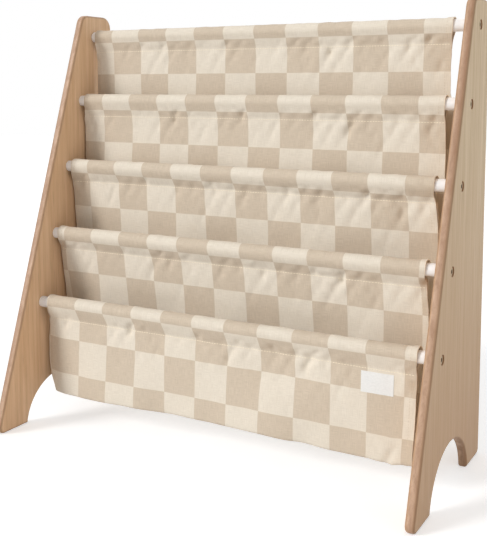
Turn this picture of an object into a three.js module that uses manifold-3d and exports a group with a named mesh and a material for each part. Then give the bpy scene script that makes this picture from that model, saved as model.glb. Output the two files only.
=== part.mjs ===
// Sling bookshelf for a child's room: two side panels, five rods bolted between them, and
// a sling of five sewn cloths that hang from the rods as four book pockets.
// Sizes are in millimetres. +X points to the right-hand panel as seen from the front, +Y to
// the back and +Z up. The origin lies on the floor, midway across and midway front to back.

import * as THREE from 'three';
import { mergeVertices } from 'three/addons/utils/BufferGeometryUtils.js';
import Module from 'manifold-3d';

const wasm = await Module();
wasm.setup();

// Whole shelf
const WIDTH = 618;
const HEIGHT = 600;
const DEPTH = 269;
const CLEARANCE = 0.3; // between pieces that seat on each other
const CUT_OVERRUN = 2; // how far a cutting shape runs past the face that it cuts

// Side panels
const PANEL_THICKNESS = 12;
const PANEL_TOP_DEPTH = 73.5; // back edge to the foremost point of the top's front corner
const PANEL_EDGE_RADIUS = 3.5;
const TOP_BACK_RADIUS = 18;
const TOP_FRONT_RADIUS = 16;
const TOE_RADIUS = 9;
const HEEL_RADIUS = 8;
const CORNER_STEPS = 6;
const EDGE_STEPS = 3;
const ARCH_HALF_WIDTH = 78; // half the arch's ellipse, front to back
const ARCH_RISE = 68; // half the arch's ellipse, upwards
const ARCH_SINK = 8; // centre of that ellipse below the floor
const ARCH_STEPS = 20;

// Rods: plastic-coated steel tubes, spaced evenly up the panels' front edges
const ROD_COUNT = 5;
const ROD_DIAMETER = 16;
const ROD_WALL = 1.2;
const ROD_PITCH = 98.35; // from one rod up to the next
const TOP_ROD_DROP = 32.5; // top rod's centre below the panels' top
const ROD_SETBACK = 37.3; // rod's centre behind the panels' front edge at the same height
const ROD_SIDES = 20;

// Bolts with a countersunk head and a hexagon socket, and the threaded plugs that take them
const BOLT_DIAMETER = 6;
const BOLT_LENGTH = 28;
const BOLT_HEAD_DIAMETER = 12;
const BOLT_HEAD_HEIGHT = 3.3;
const BOLT_HEAD_RIM = 0.5; // straight rim over the head's cone
const BOLT_HEAD_RECESS = 1.5; // head's top below the panel's outer face
const BOLT_TIP_CHAMFER = 1;
const SOCKET_WIDTH = 4.6; // across the hexagon's corners
const SOCKET_DEPTH = 2.4;
const PLUG_LENGTH = 22;
const BOLT_SIDES = 16;

// Sling
const CLOTH_LEFT_GAP = 6; // between the cloth and the left panel
const CLOTH_RIGHT_GAP = 19; // between the cloth and the right panel
const CLOTH_THICKNESS = 1.2;
const CLOTH_GAP = 0.4; // between two layers, and between the cloth and a rod
const STITCH_DROP = 22.5; // seam that closes the sleeve, below the rod's centre
const SEAM_ALLOWANCE = 7; // sleeve's cut edge below that seam
const POCKET_DROP = 138; // pocket's lowest point below the rod that carries its front
const POCKET_TURN = 34; // height of the rounded turn at a pocket's bottom
const SLEEVE_STEPS = 10;
const TURN_STEPS = 7;
const FRONT_WALL_ROWS = 4;
const CLOTH_COLUMNS = 12;
const LAST_CLOTH_COLUMNS = 16;

// Main folds of the hanging walls
const FOLD_START = 34; // flat stretch below the seam
const FOLD_GROWTH = 70; // height over which a fold reaches its full depth
const FOLD_DEPTH = 2.6;
const FOLD_SPACING = 232;
const FOLD_LEAN = 900; // fall along which a fold drifts sideways by one spacing
const FOLD_PHASE_SHARES = [0.1, 0.55, 0.3, 0.8, 0.42];
const POCKET_SAG = 2.5; // how much lower a pocket's middle hangs than its ends

// Blank label sewn on the front pocket
const LABEL_WIDTH = 42;
const LABEL_HEIGHT = 25;
const LABEL_THICKNESS = 0.5;
const LABEL_INSET = 30; // from the cloth's right-hand edge
const LABEL_DROP = 6.5; // below the seam of the lowest rod

// Colours and finishes
const panelFinish = { color: 0xc8ab86, roughness: 0.6, metalness: 0 };
const rodFinish = { color: 0xfafaf8, roughness: 0.25, metalness: 0 };
const boltFinish = { color: 0x4a4642, roughness: 0.4, metalness: 0.9 };
const plugFinish = { color: 0xb9babb, roughness: 0.45, metalness: 0.8 };
const clothFinish = { color: 0xddd1bc, roughness: 0.9, metalness: 0 };
const labelFinish = { color: 0xf8f7f4, roughness: 0.8, metalness: 0 };

const shelf = new THREE.Group();

function addPiece(name, geometry, finish, position = [0, 0, 0]) {
  const piece = new THREE.Mesh(geometry, new THREE.MeshStandardMaterial(finish));
  piece.name = name;
  piece.position.set(...position);
  shelf.add(piece);
}

// Boolean cuts

function toSolid(geometry) {
  const plain = geometry.clone();
  plain.deleteAttribute('normal');
  plain.deleteAttribute('uv');
  const merged = mergeVertices(plain);
  const vertProperties = new Float32Array(merged.attributes.position.array);
  const triVerts = new Uint32Array(merged.index.array);
  return new wasm.Manifold(new wasm.Mesh({ numProp: 3, vertProperties, triVerts }));
}

function toGeometry(solid) {
  const { vertProperties, triVerts } = solid.getMesh();
  const geometry = new THREE.BufferGeometry();
  geometry.setAttribute('position', new THREE.BufferAttribute(vertProperties, 3));
  geometry.setIndex(new THREE.BufferAttribute(triVerts, 1));
  geometry.computeVertexNormals();
  return geometry;
}

function cut(geometry, tools) {
  const solid = tools.reduce((rest, tool) => rest.subtract(toSolid(tool)), toSolid(geometry));
  return toGeometry(solid);
}

// Turns a shape drawn with its first axis as Y and its second as Z, extruded along X
const STANDING = new THREE.Matrix4().makeBasis(
  new THREE.Vector3(0, 1, 0),
  new THREE.Vector3(0, 0, 1),
  new THREE.Vector3(1, 0, 0),
);

// Lays a turned shape on its side, with the turning axis along +X
function turned(profile, sides) {
  const points = profile.map(([radius, along]) => new THREE.Vector2(radius, along));
  return new THREE.LatheGeometry(points, sides).rotateZ(-Math.PI / 2);
}

// Side panels

const frontY = -DEPTH / 2;
const backY = DEPTH / 2;

const corners = {
  toe: { y: frontY + TOE_RADIUS, z: TOE_RADIUS, radius: TOE_RADIUS },
  heel: { y: backY - HEEL_RADIUS, z: HEEL_RADIUS, radius: HEEL_RADIUS },
  topBack: { y: backY - TOP_BACK_RADIUS, z: HEIGHT - TOP_BACK_RADIUS, radius: TOP_BACK_RADIUS },
  topFront: {
    y: backY - PANEL_TOP_DEPTH + TOP_FRONT_RADIUS,
    z: HEIGHT - TOP_FRONT_RADIUS,
    radius: TOP_FRONT_RADIUS,
  },
};

// Direction in which the edge between two round corners faces, with the panel on its left
function edgeAngle(from, to) {
  const run = to.y - from.y;
  const rise = to.z - from.z;
  const lean = Math.asin((from.radius - to.radius) / Math.hypot(run, rise));
  return Math.atan2(rise, run) - Math.PI / 2 + lean;
}

function arcPoints(centreY, centreZ, radiusY, radiusZ, start, end, steps) {
  return Array.from({ length: steps + 1 }, (_, step) => {
    const angle = start + ((end - start) * step) / steps;
    return new THREE.Vector2(
      centreY + radiusY * Math.cos(angle),
      centreZ + radiusZ * Math.sin(angle),
    );
  });
}

function cornerPoints(before, corner, after) {
  const start = edgeAngle(before, corner);
  const turn = THREE.MathUtils.euclideanModulo(edgeAngle(corner, after) - start, 2 * Math.PI);
  const { y, z, radius } = corner;
  return arcPoints(y, z, radius, radius, start, start + turn, CORNER_STEPS);
}

// Y of the slanting front edge at a height
function frontEdgeY(z) {
  const { toe, topFront } = corners;
  const angle = edgeAngle(topFront, toe);
  const reach = toe.radius + toe.y * Math.cos(angle) + toe.z * Math.sin(angle);
  return (reach - z * Math.sin(angle)) / Math.cos(angle);
}

function panelOutline() {
  const { toe, heel, topBack, topFront } = corners;
  const footAngle = Math.asin(ARCH_SINK / ARCH_RISE);
  return [
    ...cornerPoints(topFront, toe, heel),
    ...arcPoints(0, -ARCH_SINK, ARCH_HALF_WIDTH, ARCH_RISE, Math.PI - footAngle, footAngle, ARCH_STEPS),
    ...cornerPoints(toe, heel, topBack),
    ...cornerPoints(heel, topBack, topFront),
    ...cornerPoints(topBack, topFront, toe),
  ];
}

const rods = Array.from({ length: ROD_COUNT }, (_, index) => {
  const z = HEIGHT - TOP_ROD_DROP - index * ROD_PITCH;
  return { y: frontEdgeY(z) + ROD_SETBACK, z };
});

// Countersunk hole for a bolt that enters the panel along +X
function boltHole() {
  const seat = BOLT_HEAD_RECESS + BOLT_HEAD_RIM + CLEARANCE;
  const headRadius = BOLT_HEAD_DIAMETER / 2 + CLEARANCE;
  const shankRadius = BOLT_DIAMETER / 2 + CLEARANCE;
  const cone = BOLT_HEAD_HEIGHT - BOLT_HEAD_RIM;
  return turned(
    [
      [0, -CUT_OVERRUN],
      [headRadius, -CUT_OVERRUN],
      [headRadius, seat],
      [shankRadius, seat + cone],
      [shankRadius, PANEL_THICKNESS + CUT_OVERRUN],
      [0, PANEL_THICKNESS + CUT_OVERRUN],
    ],
    BOLT_SIDES,
  );
}

// Panel lying in X from 0, its outer face, to its thickness
function panelGeometry() {
  const blank = new THREE.ExtrudeGeometry(new THREE.Shape(panelOutline()), {
    depth: PANEL_THICKNESS - 2 * PANEL_EDGE_RADIUS,
    bevelThickness: PANEL_EDGE_RADIUS,
    bevelSize: PANEL_EDGE_RADIUS,
    bevelOffset: -PANEL_EDGE_RADIUS,
    bevelSegments: EDGE_STEPS,
  });
  blank.applyMatrix4(STANDING).translate(PANEL_EDGE_RADIUS, 0, 0);
  return cut(blank, rods.map((rod) => boltHole().translate(0, rod.y, rod.z)));
}

// The right-hand panel is the left-hand one mirrored, with its faces turned out again
function mirroredX(geometry) {
  const mirrored = geometry.clone().scale(-1, 1, 1);
  const order = mirrored.index.array;
  for (let corner = 0; corner < order.length; corner += 3) {
    const first = order[corner];
    order[corner] = order[corner + 1];
    order[corner + 1] = first;
  }
  mirrored.computeVertexNormals();
  return mirrored;
}

const panel = panelGeometry();
addPiece('left_side_panel', panel, panelFinish, [-WIDTH / 2, 0, 0]);
addPiece('right_side_panel', mirroredX(panel), panelFinish, [WIDTH / 2, 0, 0]);

// Rods, plugs and bolts

const rodEndX = WIDTH / 2 - PANEL_THICKNESS - CLEARANCE;
const rodBoreRadius = ROD_DIAMETER / 2 - ROD_WALL;

// Hollow tube from x = 0 to its length; the profile closes on itself
function tubeGeometry(outerRadius, innerRadius, length, sides) {
  return turned(
    [
      [innerRadius, 0],
      [outerRadius, 0],
      [outerRadius, length],
      [innerRadius, length],
      [innerRadius, 0],
    ],
    sides,
  );
}

// Bolt along +X, with the top of its head at x = 0
function boltGeometry() {
  const headRadius = BOLT_HEAD_DIAMETER / 2;
  const shankRadius = BOLT_DIAMETER / 2;
  const body = turned(
    [
      [0, 0],
      [headRadius, 0],
      [headRadius, BOLT_HEAD_RIM],
      [shankRadius, BOLT_HEAD_HEIGHT],
      [shankRadius, BOLT_LENGTH - BOLT_TIP_CHAMFER],
      [shankRadius - BOLT_TIP_CHAMFER, BOLT_LENGTH],
      [0, BOLT_LENGTH],
    ],
    BOLT_SIDES,
  );
  const socketLength = SOCKET_DEPTH + CUT_OVERRUN;
  const socket = new THREE.CylinderGeometry(SOCKET_WIDTH / 2, SOCKET_WIDTH / 2, socketLength, 6)
    .rotateZ(-Math.PI / 2)
    .translate(SOCKET_DEPTH - socketLength / 2, 0, 0);
  return cut(body, [socket]);
}

const rodTube = tubeGeometry(ROD_DIAMETER / 2, rodBoreRadius, 2 * rodEndX, ROD_SIDES);
const plug = tubeGeometry(
  rodBoreRadius - CLEARANCE,
  BOLT_DIAMETER / 2 + CLEARANCE,
  PLUG_LENGTH,
  BOLT_SIDES,
);
const bolt = boltGeometry();
const boltHeadX = WIDTH / 2 - BOLT_HEAD_RECESS;

rods.forEach(({ y, z }, index) => {
  const number = index + 1;
  addPiece(`rod_${number}`, rodTube, rodFinish, [-rodEndX, y, z]);
  addPiece(`left_plug_${number}`, plug, plugFinish, [-rodEndX, y, z]);
  addPiece(`right_plug_${number}`, mirroredX(plug), plugFinish, [rodEndX, y, z]);
  addPiece(`left_bolt_${number}`, bolt, boltFinish, [-boltHeadX, y, z]);
  addPiece(`right_bolt_${number}`, mirroredX(bolt), boltFinish, [boltHeadX, y, z]);
});

// Sling. Each cloth is a strip that goes round its rod as a sleeve, falls as the back wall of
// its pocket, turns at the bottom and rises as the front wall to the seam under the next rod.
// The last cloth is the front wall of the lowest pocket and meets the fourth at the bottom.

const layerPitch = CLOTH_THICKNESS + CLOTH_GAP;
const layerShift = layerPitch / 2;
const rodStepY = rods[0].y - rods[1].y;
const wallTurnRise = POCKET_DROP - POCKET_TURN;
const rowPitch = (wallTurnRise - STITCH_DROP) / FRONT_WALL_ROWS;
const clothLeftX = -WIDTH / 2 + PANEL_THICKNESS + CLOTH_LEFT_GAP;
const clothRightX = WIDTH / 2 - PANEL_THICKNESS - CLOTH_RIGHT_GAP;
const clothWidth = clothRightX - clothLeftX;

const onPath = (y, z) => new THREE.Vector2(y, z);

// Sleeve around a rod, from its cut edge behind the seam to the seam's front
function sleevePath({ y, z }) {
  const radius = ROD_DIAMETER / 2 + CLOTH_GAP + CLOTH_THICKNESS / 2;
  const seamAngle = Math.atan2(-STITCH_DROP, layerShift);
  const wrapStart = seamAngle + Math.acos(radius / Math.hypot(layerShift, STITCH_DROP));
  return [
    onPath(y + layerShift, z - STITCH_DROP - SEAM_ALLOWANCE),
    onPath(y + layerShift, z - STITCH_DROP),
    ...arcPoints(y, z, radius, radius, wrapStart, Math.PI - wrapStart, SLEEVE_STEPS),
    onPath(y - layerShift, z - STITCH_DROP),
  ];
}

// Straight wall below a seam, in rows that neighbouring layers share
function wallPath(y, seamZ, endZ) {
  const rows = Math.ceil((seamZ - endZ) / rowPitch) - 1;
  return Array.from({ length: rows }, (_, row) => onPath(y, seamZ - (row + 1) * rowPitch));
}

function clothPath(index) {
  const rod = rods[index];
  const seamZ = rod.z - STITCH_DROP;
  const wallY = rod.y - layerShift;
  const nextZ = rod.z - ROD_PITCH;
  const last = index === ROD_COUNT - 1;
  const beforeLast = index === ROD_COUNT - 2;
  if (last) {
    const turnZ = rod.z - wallTurnRise;
    const half = rodStepY / 2;
    const lip = CLOTH_GAP / rodStepY;
    return [
      ...sleevePath(rod),
      ...wallPath(wallY, seamZ, turnZ),
      ...arcPoints(wallY + half, turnZ, half, POCKET_TURN, -Math.PI, -Math.PI / 2 - lip, TURN_STEPS),
    ];
  }
  const turnZ = nextZ - wallTurnRise;
  const frontWallY = beforeLast
    ? wallY - rodStepY
    : rod.y - rodStepY + layerShift + layerPitch;
  const half = (wallY - frontWallY) / 2;
  const middleY = wallY - half;
  const lip = beforeLast ? CLOTH_GAP / rodStepY : 0;
  const turnEnd = beforeLast ? -Math.PI / 2 + lip : -Math.PI;
  const frontSeamZ = nextZ - STITCH_DROP;
  const path = [
    ...sleevePath(rod),
    ...wallPath(wallY, seamZ, turnZ),
    ...arcPoints(middleY, turnZ, half, POCKET_TURN, 0, turnEnd, TURN_STEPS),
  ];
  if (beforeLast) {
    return path;
  }
  const frontWall = wallPath(frontWallY, frontSeamZ, turnZ).reverse();
  return [...path, ...frontWall, onPath(frontWallY, frontSeamZ)];
}

// Folds shift all layers at one place alike, so that they never meet. Each rod's plane has
// its own folds, which start below its seam and fade out towards the next rod's plane.
function foldShift(x, y, z) {
  let shiftY = 0;
  let shiftZ = 0;
  rods.forEach((rod, index) => {
    const away = Math.min(Math.abs(y - rod.y) / rodStepY, 1);
    const nearness = Math.cos((away * Math.PI) / 2) ** 2;
    const fall = rod.z - STITCH_DROP - FOLD_START - z;
    const growth = THREE.MathUtils.smoothstep(fall, 0, FOLD_GROWTH);
    const turn = x / FOLD_SPACING + fall / FOLD_LEAN + FOLD_PHASE_SHARES[index];
    const across = x / clothWidth;
    shiftY += nearness * growth * FOLD_DEPTH * Math.sin(2 * Math.PI * turn);
    shiftZ -= nearness * growth * POCKET_SAG * Math.cos(Math.PI * across);
  });
  return [shiftY, shiftZ];
}

// Closed strip of cloth along a path, with the path's columns repeated across the width
function clothGeometry(path, columns) {
  const half = CLOTH_THICKNESS / 2;
  const sides = path.map((point, index) => {
    const before = path[Math.max(index - 1, 0)];
    const after = path[Math.min(index + 1, path.length - 1)];
    const into = point.clone().sub(before).normalize();
    const out = after.clone().sub(point).normalize();
    const along = into.clone().add(out).normalize();
    const widening = index > 0 && index < path.length - 1 ? 1 / along.dot(into) : 1;
    const normal = new THREE.Vector2(-along.y, along.x).multiplyScalar(half * widening);
    return { left: point.clone().add(normal), right: point.clone().sub(normal) };
  });
  const ring = [
    ...sides.map((side) => side.left),
    ...sides.map((side) => side.right).reverse(),
  ];
  const positions = [];
  for (let column = 0; column <= columns; column += 1) {
    const x = clothLeftX + (clothWidth * column) / columns;
    ring.forEach(({ x: y, y: z }) => {
      const [shiftY, shiftZ] = foldShift(x, y, z);
      positions.push(x, y + shiftY, z + shiftZ);
    });
  }
  const count = ring.length;
  const faces = [];
  const addQuad = (a, b, c, d) => faces.push(a, c, b, a, d, c);
  for (let column = 0; column < columns; column += 1) {
    for (let place = 0; place < count; place += 1) {
      const next = (place + 1) % count;
      const here = column * count;
      const there = here + count;
      addQuad(here + place, here + next, there + next, there + place);
    }
  }
  const far = columns * count;
  for (let place = 0; place < path.length - 1; place += 1) {
    const opposite = count - 1 - place;
    addQuad(place, opposite, opposite - 1, place + 1);
    addQuad(far + place, far + place + 1, far + opposite - 1, far + opposite);
  }
  const geometry = new THREE.BufferGeometry();
  geometry.setAttribute('position', new THREE.Float32BufferAttribute(positions, 3));
  geometry.setIndex(faces);
  geometry.computeVertexNormals();
  return geometry;
}

rods.forEach((_, index) => {
  const columns = index === ROD_COUNT - 1 ? LAST_CLOTH_COLUMNS : CLOTH_COLUMNS;
  addPiece(`sling_cloth_${index + 1}`, clothGeometry(clothPath(index), columns), clothFinish);
});

// Label, flat against the front wall of the lowest pocket

const lowestRod = rods[ROD_COUNT - 1];
const labelX = clothRightX - LABEL_INSET - LABEL_WIDTH / 2;
const labelY = lowestRod.y - layerShift - CLOTH_THICKNESS / 2 - CLEARANCE - LABEL_THICKNESS / 2;
const labelZ = lowestRod.z - STITCH_DROP - LABEL_DROP - LABEL_HEIGHT / 2;
addPiece(
  'blank_label',
  new THREE.BoxGeometry(LABEL_WIDTH, LABEL_THICKNESS, LABEL_HEIGHT),
  labelFinish,
  [labelX, labelY, labelZ],
);

export default shelf;
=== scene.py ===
"""Sling bookshelf: two wooden side panels, five white rods and a checked cloth sling with four pockets.

Sizes are in millimetres in the CAD frame and turn into metres when a mesh is made.
A span is given as the place where something starts and the width over which it comes in.
"""

import bmesh
import bpy
import numpy as np
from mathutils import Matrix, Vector, geometry


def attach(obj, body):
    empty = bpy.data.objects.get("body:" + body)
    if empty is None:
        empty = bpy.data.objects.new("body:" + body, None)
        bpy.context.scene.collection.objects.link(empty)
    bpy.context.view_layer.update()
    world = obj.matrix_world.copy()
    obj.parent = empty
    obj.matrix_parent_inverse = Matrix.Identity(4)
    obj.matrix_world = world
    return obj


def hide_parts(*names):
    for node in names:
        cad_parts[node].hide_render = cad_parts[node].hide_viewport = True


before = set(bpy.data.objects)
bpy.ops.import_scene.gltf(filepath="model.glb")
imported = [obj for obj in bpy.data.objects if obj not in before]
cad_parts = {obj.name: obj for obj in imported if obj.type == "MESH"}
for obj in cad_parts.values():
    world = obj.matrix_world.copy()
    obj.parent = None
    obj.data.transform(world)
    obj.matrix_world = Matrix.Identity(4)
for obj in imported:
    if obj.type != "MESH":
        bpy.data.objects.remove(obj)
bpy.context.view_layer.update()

MM = 0.001
PI = np.pi

# Sizes shared with the CAD source
HALF_WIDTH = 309.0
PANEL_THICKNESS = 12.0
PANEL_EDGE_RADIUS = 3.5
ARCH = (78.0, 68.0, -8.0)  # half width and rise of its ellipse, and the height of the ellipse's centre
# Corner circles (y, z, radius): toe, heel, top at the back, top at the front
PANEL_CORNERS = np.array([[-125.5, 9, 9], [126.5, 8, 8], [116.5, 582, 18], [77, 584, 16]], float)
ROD_COUNT = 5
LAST = ROD_COUNT - 1  # number of the lowest rod and cloth, counted from 0
TOP_ROD_Y = 91.805
TOP_ROD_Z = 567.5
ROD_STEP_Y = 33.372
ROD_PITCH = 98.35
ROD_Y = TOP_ROD_Y - ROD_STEP_Y * np.arange(ROD_COUNT)
ROD_Z = TOP_ROD_Z - ROD_PITCH * np.arange(ROD_COUNT)
ROD_RADIUS = 8.0
ROD_WALL = 1.2
ROD_END_X = 296.7
BOLT_RECESS = 1.5
BOLT_LENGTH = 28.0
CLOTH_WIDTH = 569.0
STITCH_DROP = 22.5  # seam that closes a sleeve, below the rod's centre
SEAM_ALLOWANCE = 7.0
SLEEVE_RADIUS = 9.0
LAYER_SHIFT = 0.8  # from the seam's plane to the middle of each of its layers
LAYER_PITCH = 1.6
FOLD_START = 34.0
FOLD_GROWTH = 70.0
FOLD_DEPTH = 2.6
FOLD_SPACING = 232.0
FOLD_LEAN = 900.0
FOLD_PHASES = np.array([0.1, 0.55, 0.3, 0.8, 0.42])
POCKET_SAG = 2.5

# Cloth, hems, thread and label, finer than in the CAD source
CLOTH_THICKNESS = 1.0
HEM_THICKNESS = 1.4
HEM_WIDTH = 9.0
HEM_STEP = (HEM_WIDTH - 1, 3.0)  # span in from the edge over which the hem thins out
EDGE_ROUNDING = (-1.2, 2.4)  # span over which the cloth's edge is rounded
STITCH_LENGTH = 3.4
STITCH_PITCH = 3.9
STITCH_RADIUS = 0.40
HEM_STITCH_RADIUS = 0.32
STITCH_HEIGHT_SHARE = 0.8
THREAD_LIFT = 0.1  # thread's middle above the cloth's face
SEAM_STITCH_OFFSET = 1.0
SEAM_END_INSET = 2.5
HEM_STITCH_INSET = 1.5  # from the hem's inner edge
HEM_STITCH_START, HEM_STITCH_END = 12.0, 8.0
LABEL_LEFT, LABEL_RIGHT, LABEL_TOP, LABEL_BOTTOM = 208.9, 252.8, 147.0, 120.7
LABEL_FACES = (0.45, 0.05)  # label's outer and inner face above the cloth's face

# Checks: each cloth's boundary across, its drop below the rod, 1 where the last check is light, and how
# far the boundaries slip from the left edge to the right one at the sleeve
CHECK_SIZE = 49.5
CHECK_X = (238.5, 244.0, 240.0, 271.3, 266.8)
CHECK_DROP = (9.3, 13.5, 12.0, 9.4, 3.2)
CHECK_TURN = (1, 1, 0, 1, 1)
CHECK_SLACK = (0, 0, 7, 0, 0)
CHECK_SLACK_FADE = 45.0
CHECKS_BEFORE = 40  # even number that keeps every count of checks above zero


# Mesh making

def grid_faces(rows, columns, closed_rows=False, closed_columns=False):
    """Quads of a grid of vertices: each joins vertex (i, j) to its neighbours at i + 1 and j + 1."""
    i = np.arange(rows if closed_rows else rows - 1)[:, None]
    j = np.arange(columns if closed_columns else columns - 1)[None, :]
    below, beside = (i + 1) % rows, (j + 1) % columns
    corners = (i * columns + j, i * columns + beside, below * columns + beside, below * columns + j)
    return np.stack(np.broadcast_arrays(*corners), -1).reshape(-1, 4)


def joined_layers(front, back):
    """Points and faces of a closed sheet: a front grid and a back grid joined along all four edges."""
    rows, columns = front.shape[:2]
    points = np.concatenate([front, back[:, ::-1]], 1)
    count = 2 * columns
    faces = grid_faces(rows, count, closed_columns=True)[:, ::-1]
    j = np.arange(columns - 1)
    strip = np.stack([j, j + 1, count - 2 - j, count - 1 - j], -1)
    faces = np.concatenate([faces, strip, (strip + (rows - 1) * count)[:, ::-1]])
    return points.reshape(-1, 3), faces


def layers_uv(u, v):
    """UV of a closed sheet: the same on the front and on the back."""
    uv = np.stack([u, v], -1)
    return np.concatenate([uv, uv[:, ::-1]], 1).reshape(-1, 2)


def add_object(name, data):
    """Object of its own for a mesh, lamp or camera."""
    made = bpy.data.objects.new(name, data)
    bpy.context.scene.collection.objects.link(made)
    return made


def make_piece(name, points, faces, material, replaces=(), uv=None, marks=None, sharp=40.0,
               weld=False):
    """Mesh object from points in millimetres and lists of corner numbers. Marks are numbers given to
    its points for the material; edges turned by more than the sharp angle stay sharp."""
    mesh = bpy.data.meshes.new(name)
    mesh.from_pydata((np.asarray(points, float) * MM).tolist(), [], [list(map(int, f)) for f in faces])
    if uv is not None:
        corner = np.empty(len(mesh.loops), np.int32)
        mesh.loops.foreach_get("vertex_index", corner)
        mesh.uv_layers.new(name="cut").data.foreach_set("uv", np.asarray(uv, np.float32)[corner].ravel())
    for mark, values in (marks or {}).items():
        layer = mesh.attributes.new(mark, "FLOAT", "POINT")
        layer.data.foreach_set("value", np.asarray(values, np.float32))
    piece = add_object(name, mesh)
    if weld:
        weld_poles(mesh)
    mesh.shade_smooth()
    mesh.set_sharp_from_angle(angle=np.radians(sharp))
    mesh.materials.append(material)
    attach(piece, "root")
    if replaces:
        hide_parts(*replaces)
    return piece


def weld_poles(mesh):
    """Merges the points of each pole, so that turned pieces are closed."""
    work = bmesh.new()
    work.from_mesh(mesh)
    bmesh.ops.remove_doubles(work, verts=work.verts, dist=1e-6)
    work.to_mesh(mesh)
    work.free()


def smoothstep(value, start, width):
    """Rises from 0 to 1 over width with level ends."""
    share = np.clip((value - start) / width, 0, 1)
    return share * share * (3 - 2 * share)


def eased(value, stops, levels):
    """Goes from level to level between the stops, level at each of them."""
    place = np.interp(value, stops, np.arange(len(stops)))
    left = np.minimum(place.astype(int), len(stops) - 2)
    return levels[left] + (levels[left + 1] - levels[left]) * smoothstep(place - left, 0, 1)


# Node materials

class Nodes:
    """Short way to build a node tree. A value is a number, a colour or another node's output."""

    def __init__(self, tree):
        self.nodes, self.links = tree.nodes, tree.links

    def node(self, kind, inputs=None, **settings):
        made = self.nodes.new("ShaderNode" + kind)
        for key, value in settings.items():
            setattr(made, key, value)
        for socket, value in (inputs or {}).items():
            if hasattr(value, "is_linked"):
                self.links.new(value, made.inputs[socket])
            else:
                made.inputs[socket].default_value = value
        return made

    def spread(self, value, low, high, to_low=0.0, to_high=1.0):
        """Maps low to to_low and high to to_high, and keeps to them beyond."""
        inputs = {"Value": value, "From Min": low, "From Max": high, "To Min": to_low, "To Max": to_high}
        return self.node("MapRange", inputs).outputs["Result"]

    def sums(self, operation, first, second):
        return self.node("Math", {0: first, 1: second}, operation=operation).outputs[0]

    def times(self, first, second):
        return self.sums("MULTIPLY", first, second)

    def seen_directly(self):
        """1 where the camera sees a surface directly or mirrored, and 0 where it only lights others."""
        path = self.node("LightPath").outputs
        return self.sums("MAXIMUM", path["Is Camera Ray"], path["Is Glossy Ray"])


class Finish(Nodes):
    """Material of one principled shader, with short ways to the nodes that feed it."""

    def __init__(self, name, **constants):
        self.material = bpy.data.materials.new(name)
        self.material.use_nodes = True
        super().__init__(self.material.node_tree)
        self.shader = self.nodes["Principled BSDF"]
        for socket, value in constants.items():
            self.shader.inputs[socket.replace("_", " ")].default_value = value

    def coordinates(self, scale=(1, 1, 1), output="Object"):
        place = self.node("TexCoord").outputs[output]
        return self.node("Mapping", {"Vector": place, "Scale": scale}).outputs["Vector"]

    def noise(self, vector, detail=4.0, roughness=0.55, distortion=0.0):
        inputs = {"Vector": vector, "Scale": 1.0, "Detail": detail, "Roughness": roughness,
                  "Distortion": distortion}
        return self.node("TexNoise", inputs).outputs["Fac"]

    def bands(self, vector, scale, direction):
        """Even ribs across one direction."""
        return self.node("TexWave", {"Vector": vector, "Scale": scale}, wave_type="BANDS",
                         bands_direction=direction).outputs["Fac"]

    def mark(self, name):
        """Number that the mesh gives to its points under this name."""
        return self.node("Attribute", attribute_name=name).outputs["Fac"]

    def mix(self, share, first, second):
        """Colour that goes from the first to the second as the share goes from 0 to 1."""
        return self.node("Mix", {0: share, 6: first, 7: second}, data_type="RGBA").outputs[2]

    def colour(self, value):
        self.links.new(value, self.shader.inputs["Base Color"])

    def roughness(self, value):
        self.links.new(value, self.shader.inputs["Roughness"])

    def bump(self, height, strength, distance):
        made = self.node("Bump", {"Height": height, "Strength": strength, "Distance": distance})
        self.links.new(made.outputs["Normal"], self.shader.inputs["Normal"])


def srgb(red, green, blue):
    """Linear colour from red, green and blue counts of 0 to 255."""
    share = np.array([red, green, blue]) / 255
    linear = np.where(share <= 0.04045, share / 12.92, ((share + 0.055) / 1.055) ** 2.4)
    return (*linear.tolist(), 1.0)


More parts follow.
